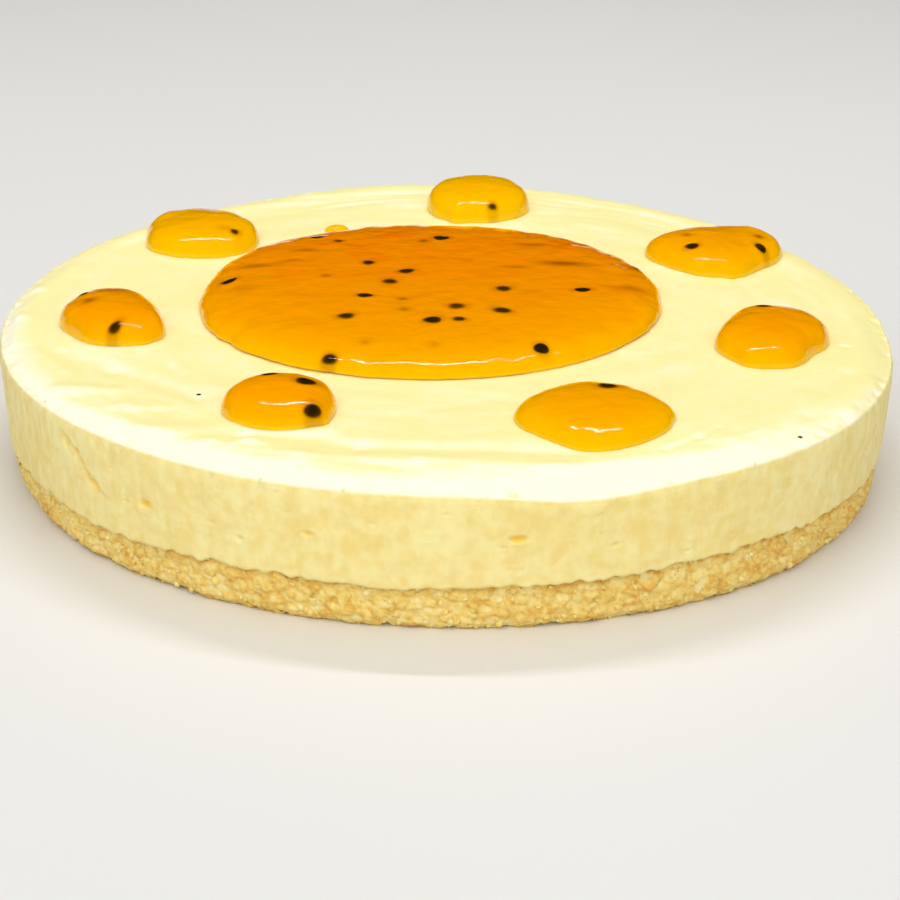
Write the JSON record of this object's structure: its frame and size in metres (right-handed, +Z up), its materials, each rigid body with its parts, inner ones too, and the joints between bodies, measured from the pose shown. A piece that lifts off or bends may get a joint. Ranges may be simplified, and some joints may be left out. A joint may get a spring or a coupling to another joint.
{
  "type": "cheesecake",
  "caption": "Round uncut cream cheesecake on a biscuit crumb base, topped with a domed pool and a ring of drops of orange seeded fruit jelly.",
  "frame": {"origin": "middle of the flat underside of the crumb base", "axes": "+Z up, -Y towards the front, +X to the right seen from the front"},
  "size_m": [0.233, 0.241, 0.0461],
  "materials": {
    "crumb": "matt golden biscuit crumbs, pressed",
    "cream": "soft satin pale yellow cream",
    "jelly": "wet gloss, orange, slightly clear",
    "seed": "gloss, near black brown"
  },
  "bodies": {
    "root": {"crumb_base": "crumb", "cream_filling": "cream", "jelly_pool": "jelly", "jelly_drop_1": "jelly", "jelly_drop_2": "jelly", "jelly_drop_3": "jelly", "jelly_drop_4": "jelly", "jelly_drop_5": "jelly", "jelly_drop_6": "jelly", "jelly_drop_7": "jelly", "jelly_bead": "jelly"}
  },
  "joints": []
}
